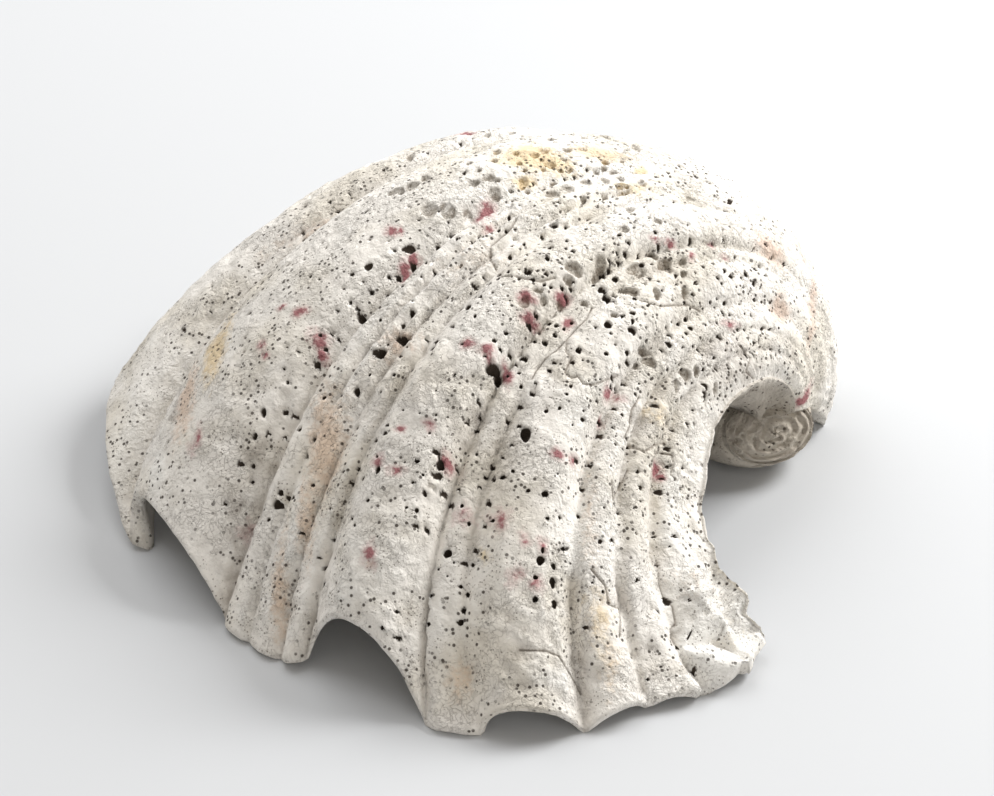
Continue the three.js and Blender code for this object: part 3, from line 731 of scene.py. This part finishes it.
def relief_of(fan, rise, points):
    turn = turn_of(fan, rise)
    index, across = fold_at(fan)
    size = shrink(turn)
    near_edge = 0.25 + 0.75 * smooth(rise, 0, 0.06)
    valley = 0.25 + 0.75 * (1 - dome(across)) ** 0.6
    valley = np.where((index >= 4) & (index <= 6), 1.3, valley)
    bent = fan + 0.8 * noise(points, 0.018, 3)
    riblets = 0.55 * streaks(bent, rise, 2.4, 0.9, 11)
    riblets += 0.6 * (1 - 2.2 * np.abs(streaks(bent, rise, 2.0, 0.8, 12)))
    riblets += 0.4 * (1 - 2.2 * np.abs(streaks(bent, rise, 0.95, 0.5, 13)))
    broken = smooth(noise(points, 0.016, 15), -0.25, 0.45)
    filling = np.where(index < LAST_WIDE_FOLD, -1.7, 2.5 * broken - 1.3)
    groove = (1 - dome(across)) ** 2 * filling
    growth = (rise / 0.11 + 0.9 * noise(points, 0.03, 5)) % 1.0
    line = (growth**4 - 0.2) * smooth(noise(points, 0.02, 14), -0.2, 0.6)
    lumps = sum(high * noise(points, wide, seed) for high, wide, seed in LUMPS)
    fine = sum(high * crumbs(points, wide, seed) for high, wide, seed in CRUMBS)
    fine += GRAIN[0] * noise(points, *GRAIN[1:])
    fine *= 0.45 + 0.65 * smooth(noise(points, 0.018, 16), -0.3, 0.35)
    height = (riblets * valley + groove) * size + 0.35 * line
    uneven = (lumps + fine) * near_edge * (0.5 + 0.5 * size)
    return MM * (height * (0.5 + 0.5 * near_edge) + uneven)


def sunk(points, patches, steepness):
    """How deep the patches cut at each point, and how far each point is into one."""
    depth = np.zeros(len(points))
    into = np.zeros(len(points))
    for patch in patches:
        near = np.where(np.abs(points - patch.centre).max(axis=1) < patch.half.max() * 1.8)[0]
        if len(near) == 0:
            continue
        away = patch.distance(points[near])
        profile = np.clip(1 - away**steepness, 0, 1)
        depth[near] = np.maximum(depth[near], profile * patch.depth * MM)
        into[near] = np.maximum(into[near], smooth(away, 1.08, 0.8))
    return depth, into


def along_cracks(points):
    """Distance of each point to the nearest crack."""
    nearest = np.full(len(points), 1.0)
    for line in cracks:
        centres, _ = bare_outside(line[:, 0], line[:, 1])
        for start, end in zip(centres, centres[1:]):
            near = np.where(np.abs(points - start).max(axis=1) < 0.004)[0]
            if len(near) == 0:
                continue
            part = end - start
            share = np.clip((points[near] - start) @ part / (part @ part), 0, 1)
            away = length(points[near] - start - share[:, None] * part)
            nearest[near] = np.minimum(nearest[near], away)
    return nearest


def closeness(points, rows):
    """1 in the middle of a mark, 0 at its edge and below 0 outside, times its strength."""
    best = np.full(len(points), -1.0)
    share_out = np.zeros(len(points))
    for seed, (x, y, half_width, half_height, strength, *share) in enumerate(rows):
        place = place_of(x, y)
        if place is None:
            continue
        fan, rise, distance = place
        size = distance / FOCAL_PIXELS
        patch = Patch(fan, rise, half_width * size, half_height * size * 1.3, 0, seed)
        value = (1 - patch.distance(points)) * strength
        if share:
            share_out = np.where(value > best, share[0], share_out)
        best = np.maximum(best, value)
    return np.clip(best, -1, 1), share_out


def corner_share(points, reach):
    """1 at the front corner beside the gape, fading to 0 at this reach."""
    corner, _ = bare_outside(np.array([LAST_FAN]), np.array([0.0]))
    return smooth(length(points - corner[0]), reach, 0.008)


def ragged_corner(points):
    """The front corner beside the gape is built of rough lumps."""
    large = np.stack([noise(points, 0.0055, 40 + axis) for axis in range(3)], 1)
    small = np.stack([noise(points, 0.0026, 50 + axis) for axis in range(3)], 1)
    share = corner_share(points, CORNER_REACH)[:, None]
    return points + CORNER_ROUGHNESS * share * (large + 0.45 * small)


def widened_foot(points):
    """The foot at the far left is a blunt stub, wider than the fold that it ends."""
    tip, _ = bare_outside(np.array([LEFT_FOOT_TIP_FAN]), np.array([0.0]))
    near = np.exp(-(length(points - tip[0]) / LEFT_FOOT_REACH) ** 2)
    to_side = np.tanh((points[:, 0] - tip[0, 0]) / LEFT_FOOT_WIDENING)
    return points + RIGHT * (LEFT_FOOT_WIDENING * near * to_side)[:, None]


fan, rise = outer_domain.T
fan = np.clip(fan, FIRST_FAN, LAST_FAN)
rise = np.clip(rise, 0, LAST_TURN)
bare, normals = bare_outside(fan, rise)
hole_depth, hole = sunk(bare, holes + pores, HOLE_STEEPNESS)
crater_depth, crater = sunk(bare, craters, CRATER_STEEPNESS)
crater_depth *= CRATER_DEEPENING
crack = smooth(along_cracks(bare), CRACK_HALF_WIDTH * 1.6, 0)
swell = relief_of(fan, rise, bare)
swell += CORNER_BULK * corner_share(bare, 0.032) * (0.45 + 0.55 * crumbs(bare, 0.0075, 61))
swell += LEFT_FOOT_BULK * np.exp(-((fan - LEFT_FOOT_FAN) / 5) ** 2) * smooth(rise, 0.3, 0.03)
height = swell - hole_depth - crater_depth - CRACK_DEPTH * crack
outer_points = bare + normals * height[:, None]
red, _ = closeness(bare, RED_SPOTS)
warm, peach = closeness(bare, WARM_STAINS)
dirt_and_shade, _ = closeness(bare, DIRT_AND_SHADE_PLACES)
pale, _ = closeness(bare, PALE_AND_LIT_PLACES)
pale = smooth(pale + 0.3 * noise(bare, 0.006, 72), 0, 0.8)
# Painted shade: the groove value darkens the low places of the relief and the listed dirt-and-shade
# places, together with real dirt in the furrows.
hollowed = -(swell - 0.0001) / 0.0022
groove = hollowed + 0.9 * smooth(dirt_and_shade + 0.35 * noise(bare, 0.004, 71), 0, 0.8)
groove = np.clip(groove, 0, 1) * (1 - 0.7 * pale)
# Painted highlight: the raised value lightens the high places, the front corner and the pale
# places.
raised = np.clip(-hollowed - 0.2 + 0.8 * corner_share(bare, 0.04) + 0.9 * pale, 0, 1)


class Skin:
    """Points, faces and named values gathered for one closed mesh."""

    def __init__(self):
        self.points = []
        self.faces = []
        self.values = []
        self.count = 0

    def add(self, points, **values):
        first = self.count
        self.points.append(points)
        self.values.append({"count": len(points), **values})
        self.count += len(points)
        return np.arange(first, self.count)

    def fill(self, grid):
        corners = [grid[:-1, :-1], grid[1:, :-1], grid[1:, 1:], grid[:-1, 1:]]
        self.faces += np.stack(corners, -1).reshape(-1, 4).tolist()

    def value(self, name):
        unset = -1.0 if name in ("red", "warm") else 0.0
        parts = [np.broadcast_to(v.get(name, unset), v["count"]) for v in self.values]
        return np.concatenate(parts)


skin = Skin()
outer = skin.add(
    outer_points, hole=hole, crater=crater, crack=crack, red=red, warm=warm, peach=peach,
    groove=groove, raised=raised,
)
skin.faces += outer[outer_faces].tolist()


def boundary(domain, axis, value):
    on = np.where(np.abs(domain[:, axis] - value) < 1e-6)[0]
    return on[np.argsort(domain[on, 1 - axis])]


# The inside is a smooth sheet whose edge has the same places as the outside's.
margin = boundary(outer_domain, 1, 0.0)
far = boundary(outer_domain, 1, LAST_TURN)
hinge = boundary(outer_domain, 0, FIRST_FAN)
gape = boundary(outer_domain, 0, LAST_FAN)
rim = np.concatenate([margin, gape[1:], far[::-1][1:], hinge[::-1][1:-1]])
rim_places = outer_domain[rim]
middle_places = keep_inside(np.concatenate(even_places(INNER_SPACING)), 0.4, 0.008, 0.03)
inner_domain, inner_faces = triangles_of(np.concatenate([rim_places, middle_places]))
inner_fan = np.clip(inner_domain[:, 0], FIRST_FAN, LAST_FAN)
inner_rise = np.clip(inner_domain[:, 1], 0, LAST_TURN)
inner_points = inside(inner_fan, inner_rise)
inner_swell = 0.0004 * noise(inner_points, 0.02, 21) + 0.00012 * noise(inner_points, 0.004, 22)
inner_swell *= smooth(inner_rise, 0, 0.1)
inner_foot = np.exp(-((inner_fan - LEFT_FOOT_FAN) / 4) ** 2) * smooth(inner_rise, 0.3, 0.03)
inner_height = inner_swell - LEFT_FOOT_BULK * inner_foot
inner_points = inner_points + outward(np.radians(inner_fan), inner_rise) * inner_height[:, None]
filled_up = smooth(turn_of(inner_fan, inner_rise), 1.0, 2.0) * beside_gape(np.radians(inner_fan))
too_far_ahead = np.clip(-(inner_points - BEAK_CENTRE) @ AXIS, 0, None) * filled_up
inner_points = inner_points + AXIS * too_far_ahead[:, None]
inner = skin.add(inner_points, inside=1 - filled_up, beak=filled_up)
skin.faces += inner[inner_faces[:, ::-1]].tolist()
row_of = {tuple(np.round(place, 6)): row for row, place in enumerate(inner_domain)}
inner_rim = inner[[row_of[tuple(np.round(place, 6))] for place in rim_places]]
outer_rim = outer[rim]

# The edge between them is a rounded strip. Along the gape it swells into the lip round the beak.
outside_rim = outer_points[rim]
inside_rim = inner_points[inner_rim - inner[0]]
along_gape = (np.abs(rim_places[:, 0] - LAST_FAN) < 1e-6) * 1.0
rim_turn = turn_of(rim_places[:, 0], rim_places[:, 1])
lip = LIP_RADIUS * along_gape
thickness = length(outside_rim - inside_rim)
to_axis = unit(on_axis(outside_rim) - outside_rim)
spread = unit(np.roll(outside_rim, -1, 0) - np.roll(outside_rim, 1, 0))
free_way = unit(np.cross(spread, unit(outside_rim - inside_rim)))
strip = [outer_rim]
beak_share = along_gape * smooth(rim_turn, 1.0, 1.7)
for step in range(1, EDGE_STEPS):
    angle = step / EDGE_STEPS * math.pi / 2
    forward = AXIS * (lip * math.sin(angle))[:, None]
    sideways = to_axis * (lip * (1 - math.cos(angle)))[:, None]
    rolled = outside_rim - forward + sideways
    share = step / EDGE_STEPS
    straight = outside_rim * (1 - share) + inside_rim * share
    bulge = thickness * 0.35 * math.sin(share * math.pi) * (1 - along_gape)
    bulge *= np.abs(rim_places[:, 1] - LAST_TURN) > 1e-6
    straight = straight + free_way * bulge[:, None]
    ring = np.where(along_gape[:, None] > 0, rolled, straight)
    strip.append(skin.add(ring, beak=0.7 * beak_share, groove=0.3 * beak_share))
for step in range(1, FACE_STEPS):
    share = step / FACE_STEPS
    level = ring * (1 - share) + inside_rim * share
    rough = 1.2 * crumbs(level, 0.004, 34) + 0.5 * noise(level, 0.002, 35)
    ahead = MM * rough * beak_share * math.sin(share * math.pi)
    level = level - AXIS * ahead[:, None]
    shade = beak_share * (0.35 + 0.5 * smooth(rough, 0.3, -0.5))
    strip.append(skin.add(level, beak=beak_share, groove=shade))
strip.append(inner_rim)
skin.fill(np.stack([np.append(row, row[0]) for row in strip]))


def beak_end():
    """The beak's blunt end: rolled layers round the axis, their darkened edges and small pits."""
    turns = np.linspace(0, 2 * math.pi, BEAK_SIDES, endpoint=False)
    run = np.linspace(0, 1, BEAK_ROWS)
    root = run < BEAK_ROOT_SHARE
    root_angle = np.clip(run / BEAK_ROOT_SHARE, 0, 1) * math.pi / 2
    dome_angle = np.clip((run - BEAK_ROOT_SHARE) / (1 - BEAK_ROOT_SHARE), 0, 1) * math.pi / 2
    root_radius = BEAK_RADIUS + (BEAK_ROOT_RADIUS - BEAK_RADIUS) * np.cos(root_angle)
    root_height = BEAK_ROOT_LENGTH * (np.sin(root_angle) - 1)
    radius = np.where(root, root_radius, BEAK_RADIUS * np.cos(dome_angle))
    height = np.where(root, root_height, BEAK_BULGE * np.sin(dome_angle))
    on_dome = (run > BEAK_ROOT_SHARE)[:, None]
    ahead = -AXIS
    side = unit(np.cross(ahead, [0.0, 0.0, 1.0]))
    top = np.cross(side, ahead)
    wound = (np.arange(BEAK_SIDES) / BEAK_SIDES)[None, :]
    ring = np.stack([np.cos(turns), np.sin(turns), np.zeros(BEAK_SIDES)], 1) * 0.5
    wander = np.stack([noise(ring + [0, 0, share * 0.9], 0.35, 33) for share in run])
    passed = dome_angle[:, None] / (math.pi / 2) * BEAK_LAYERS
    layer = (passed + wound + 0.55 * wander) % 1.0
    step_out = BEAK_LAYER_STEP * (smooth(layer, 0, 0.8) - smooth(layer, 0.86, 1.0)) * on_dome
    radius_grid = radius[:, None] * np.ones((1, BEAK_SIDES))
    out = np.cos(turns)[:, None] * side + np.sin(turns)[:, None] * top
    points = out[None] * radius_grid[..., None] + ahead * (height[:, None] + step_out)[..., None]
    points = points * BEAK_SQUASH + BEAK_CENTRE
    flat = points.reshape(-1, 3)
    rough = MM * (0.7 * noise(flat, 0.005, 31) + 0.4 * crumbs(flat, 0.0024, 32))
    flat = flat + ahead * rough[:, None]
    pit = smooth(noise(flat, 0.0017, 36), 0.5, 0.7)
    flat = flat - ahead * (BEAK_PIT_DEPTH * pit)[:, None]
    edge = smooth(layer, 0.45, 0.95) * on_dome
    return flat, edge.ravel(), pit


beak_points, beak_edge, beak_pit = beak_end()
# The layer edges and the pits are darkened: painted shade at the steps and in the pits.
beak = skin.add(beak_points, groove=beak_edge, hole=0.45 * beak_pit, beak=1.0)
beak = beak.reshape(BEAK_ROWS, BEAK_SIDES)
skin.fill(np.concatenate([beak, beak[:, :1]], 1))
tip = skin.add(np.array([beak_points[-BEAK_SIDES:].mean(0)]), beak=1.0)[0]
foot = skin.add(np.array([beak_points[:BEAK_SIDES].mean(0)]), beak=1.0)[0]
last_ring = np.append(beak[-1], beak[-1][0])
first_ring = np.append(beak[0], beak[0][0])
skin.faces += [[int(a), int(b), int(tip)] for a, b in zip(last_ring, last_ring[1:])]
skin.faces += [[int(b), int(a), int(foot)] for a, b in zip(first_ring, first_ring[1:])]

MESH_VALUES = [
    "hole", "crater", "crack", "red", "warm", "peach", "groove", "raised", "inside", "beak",
]
mesh = bpy.data.meshes.new("clam_valve")
all_points = widened_foot(ragged_corner(np.concatenate(skin.points)))
all_points[:, 2] = np.maximum(all_points[:, 2], 0)
mesh.from_pydata(all_points.tolist(), [], skin.faces)
for name in MESH_VALUES:
    attribute = mesh.attributes.new(name, "FLOAT", "POINT")
    attribute.data.foreach_set("value", skin.value(name).astype(np.float32))
mesh.shade_smooth()
mesh.update()
shell = linked("clam_valve", mesh)


# Materials.
class Nodes:
    """Short names for making one material's nodes."""

    def __init__(self, name):
        self.material = bpy.data.materials.new(name)
        self.material.use_nodes = True
        self.tree = self.material.node_tree
        self.shader = self.tree.nodes["Principled BSDF"]

    def add(self, kind, inputs=(), **settings):
        made = self.tree.nodes.new(kind)
        for key, value in settings.items():
            setattr(made, key, value)
        for key, value in dict(inputs).items():
            self.give(made.inputs[key], value)
        return made

    def give(self, socket, value):
        if isinstance(value, bpy.types.NodeSocket):
            self.tree.links.new(value, socket)
        else:
            socket.default_value = value

    def attribute(self, name):
        return self.add("ShaderNodeAttribute", attribute_name=name).outputs["Fac"]

    def math(self, operation, first, second):
        return self.add("ShaderNodeMath", {0: first, 1: second}, operation=operation).outputs[0]

    def times(self, first, second):
        return self.math("MULTIPLY", first, second)

    def plus(self, first, second):
        return self.math("ADD", first, second)

    def step(self, value, low, high):
        inputs = {"Value": value, "From Min": low, "From Max": high}
        return self.add("ShaderNodeMapRange", inputs, interpolation_type="SMOOTHSTEP").outputs[0]

    def noise(self, where, scale, detail=4.0, roughness=0.6):
        inputs = {"Vector": where, "Scale": scale, "Detail": detail, "Roughness": roughness}
        return self.add("ShaderNodeTexNoise", inputs).outputs["Fac"]

    def noise_vector(self, where, scale, reach):
        made = self.add("ShaderNodeTexNoise", {"Vector": where, "Scale": scale, "Detail": 3.0})
        inputs = {0: made.outputs["Color"], 1: (reach, reach, reach)}
        return self.add("ShaderNodeVectorMath", inputs, operation="MULTIPLY").outputs[0]

    def cells(self, where, scale, feature="F1"):
        inputs = {"Vector": where, "Scale": scale}
        return self.add("ShaderNodeTexVoronoi", inputs, feature=feature).outputs["Distance"]

    def over(self, colour, top, share, most):
        return self.mix(self.times(share, most), colour, top)

    def mix(self, share, first, second):
        made = self.add("ShaderNodeMix", data_type="RGBA")
        self.give(made.inputs[0], share)
        self.give(made.inputs[6], first)
        self.give(made.inputs[7], second)
        return made.outputs[2]


CHALK = (0.92, 0.885, 0.83, 1)
IVORY_HIGHLIGHT = (0.97, 0.955, 0.915, 1)
SAND = (0.81, 0.76, 0.67, 1)
GREY = (0.62, 0.59, 0.55, 1)
# This dark brown serves dirt, cracks and crazing, and also painted shade in low places.
DIRT_AND_SHADE = (0.24, 0.195, 0.155, 1)
HOLE_SHADE = (0.055, 0.04, 0.028, 1)
CRATER = (0.235, 0.195, 0.15, 1)
RED = (0.30, 0.07, 0.085, 1)
PINK = (0.66, 0.45, 0.43, 1)
YELLOW = (0.86, 0.68, 0.38, 1)
OCHRE = (0.44, 0.30, 0.13, 1)
PEACH = (0.78, 0.60, 0.49, 1)
STAINED_AND_SHADED_INSIDE = (0.50, 0.455, 0.40, 1)
PORCELAIN = (0.74, 0.71, 0.66, 1)
BEAK_GREY_AND_SHADE = (0.44, 0.39, 0.32, 1)


def shell_material():
    """Chalky shell. The numbers after where are scales, in lumps to a metre."""
    n = Nodes("chalky_shell")
    where = n.add("ShaderNodeTexCoord").outputs["Object"]
    broad = n.noise(where, 38, 3)
    middling = n.noise(where, 150, 4)
    fine = n.noise(where, 480, 5, 0.65)
    speck = n.noise(where, 1500, 3, 0.6)
    uneven = n.math("SUBTRACT", fine, 0.5)
    colour = n.mix(n.step(broad, 0.42, 0.68), CHALK, SAND)
    # Painted highlight: raised places, the front corner and pale places are lightened to ivory.
    colour = n.over(colour, IVORY_HIGHLIGHT, n.attribute("raised"), 0.8)
    colour = n.over(colour, GREY, n.step(middling, 0.52, 0.75), 0.45)
    warm = n.plus(n.attribute("warm"), n.times(uneven, 1.2))
    peach_yellow = n.mix(n.attribute("peach"), YELLOW, PEACH)
    colour = n.over(colour, peach_yellow, n.step(warm, 0.0, 0.7), 0.85)
    # The beak end and the filled face by the gape are greyer, partly as painted shade under the
    # overhang.
    colour = n.over(colour, BEAK_GREY_AND_SHADE, n.attribute("beak"), 0.8)
    # Dirt in the furrows together with painted shade in low places and on shaded flanks.
    groove = n.times(n.attribute("groove"), n.step(n.noise(where, 220, 4), 0.3, 0.65))
    colour = n.over(colour, DIRT_AND_SHADE, groove, 0.55)
    bend = {0: where, 1: n.noise_vector(where, 260, 0.009)}
    bent = n.add("ShaderNodeVectorMath", bend, operation="ADD").outputs[0]
    crazing = n.step(n.cells(bent, 520, "DISTANCE_TO_EDGE"), 0.06, 0.0)
    crazing = n.times(crazing, n.step(n.noise(where, 70, 3), 0.42, 0.6))
    colour = n.over(colour, DIRT_AND_SHADE, crazing, 0.35)
    pinprick = n.step(n.cells(where, 560), 0.30, 0.16)
    pinprick = n.times(pinprick, n.step(n.noise(where, 80, 3), 0.44, 0.56))
    specks = n.step(n.cells(where, 1100), 0.30, 0.15)
    specks = n.times(specks, n.step(n.noise(where, 130, 3), 0.46, 0.6))
    colour = n.over(colour, DIRT_AND_SHADE, specks, 0.7)
    # Pinpricks are painted near black: painted shade in tiny holes.
    colour = n.over(colour, HOLE_SHADE, pinprick, 0.9)
    red = n.plus(n.attribute("red"), n.times(uneven, 1.5))
    colour = n.over(colour, PINK, n.step(red, -0.45, 0.2), 0.45)
    colour = n.over(colour, RED, n.step(red, 0.05, 0.5), 0.85)
    crater = n.times(n.attribute("crater"), n.step(fine, 0.3, 0.6))
    pit_colour = n.mix(n.times(n.step(warm, 0.0, 0.5), 0.8), CRATER, OCHRE)
    colour = n.over(colour, pit_colour, crater, 0.85)
    colour = n.over(colour, DIRT_AND_SHADE, n.attribute("crack"), 0.8)
    # Holes, pores and the beak's pits are painted near black: painted shade inside them.
    colour = n.mix(n.step(n.attribute("hole"), 0.25, 0.8), colour, HOLE_SHADE)
    # The inside is darkened brown, partly stain and partly painted shade under the valve.
    within = n.mix(n.step(broad, 0.4, 0.6), STAINED_AND_SHADED_INSIDE, PORCELAIN)
    colour = n.mix(n.attribute("inside"), colour, within)
    n.give(n.shader.inputs["Base Color"], colour)
    gloss = {"Value": n.attribute("inside"), "To Min": 0.88, "To Max": 0.5}
    rough = n.add("ShaderNodeMapRange", gloss)
    n.give(n.shader.inputs["Roughness"], rough.outputs[0])
    dents = n.plus(n.plus(n.times(crazing, 0.5), pinprick), n.times(specks, 0.5))
    rises = n.plus(n.times(fine, 2.2), n.times(speck, 0.7))
    rises = n.plus(rises, n.times(n.step(n.cells(bent, 330), 0.0, 0.7), -1.1))
    outside = n.math("SUBTRACT", 1.0, n.times(n.attribute("inside"), 0.85))
    rough_here = n.plus(0.4, n.times(n.step(n.noise(where, 60, 3), 0.38, 0.6), 0.7))
    rises = n.times(rises, rough_here)
    height = n.times(n.math("SUBTRACT", rises, dents), outside)
    bump = n.add("ShaderNodeBump", {"Height": height, "Strength": 0.9, "Distance": 0.0004})
    n.give(n.shader.inputs["Normal"], bump.outputs[0])
    return n.material


mesh.materials.append(shell_material())
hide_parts("valve")
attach(shell, "root")

# The set: a pale floor, soft light from behind on the right, and the camera.
FLOOR_HALF = 6.0
FLOOR_COLOUR = (0.60, 0.615, 0.635, 1)
WORLD_COLOUR = (1.0, 0.945, 0.87, 1)
WORLD_STRENGTH = 0.36
AIM = Vector((0, 0, 0.03))

# Area lights: name, place, size, power in watts, colour.
LIGHTS = [
    ("key", (0.82, 0.5, 0.78), 0.6, 17.0, (1.0, 0.995, 0.985)),
    ("top", (-0.5, 0.8, 1.2), 1.3, 13.5, (0.985, 0.99, 1.0)),
    ("front", (0.5, -1.0, 0.55), 1.0, 2.0, (1.0, 0.985, 0.96)),
]

floor_mesh = bpy.data.meshes.new("floor")
corners = ((-1, -1), (1, -1), (1, 1), (-1, 1))
floor_corners = [(x * FLOOR_HALF, y * FLOOR_HALF, 0) for x, y in corners]
floor_mesh.from_pydata(floor_corners, [], [(0, 1, 2, 3)])
floor = linked("floor", floor_mesh)
floor_nodes = Nodes("pale_floor")
floor_nodes.shader.inputs["Base Color"].default_value = FLOOR_COLOUR
floor_nodes.shader.inputs["Roughness"].default_value = 0.7
floor_mesh.materials.append(floor_nodes.material)

scene.view_settings.view_transform = "Standard"
world = bpy.data.worlds.new("world")
world.use_nodes = True
background = world.node_tree.nodes["Background"]
background.inputs["Color"].default_value = WORLD_COLOUR
background.inputs["Strength"].default_value = WORLD_STRENGTH
scene.world = world

for name, place, size, watts, colour in LIGHTS:
    light_data = bpy.data.lights.new(name, "AREA")
    light_data.size = size
    light_data.energy = watts
    light_data.color = colour
    light = linked(name, light_data)
    light.location = place
    light.rotation_euler = (AIM - Vector(place)).to_track_quat("-Z", "Y").to_euler()

camera_data = bpy.data.cameras.new("camera")
camera_data.lens = LENS_MM
camera_data.sensor_width = SENSOR_MM
camera = linked("camera", camera_data)
camera.location = EYE
camera.rotation_euler = (math.pi / 2 - elevation, 0, 0)
scene.camera = camera
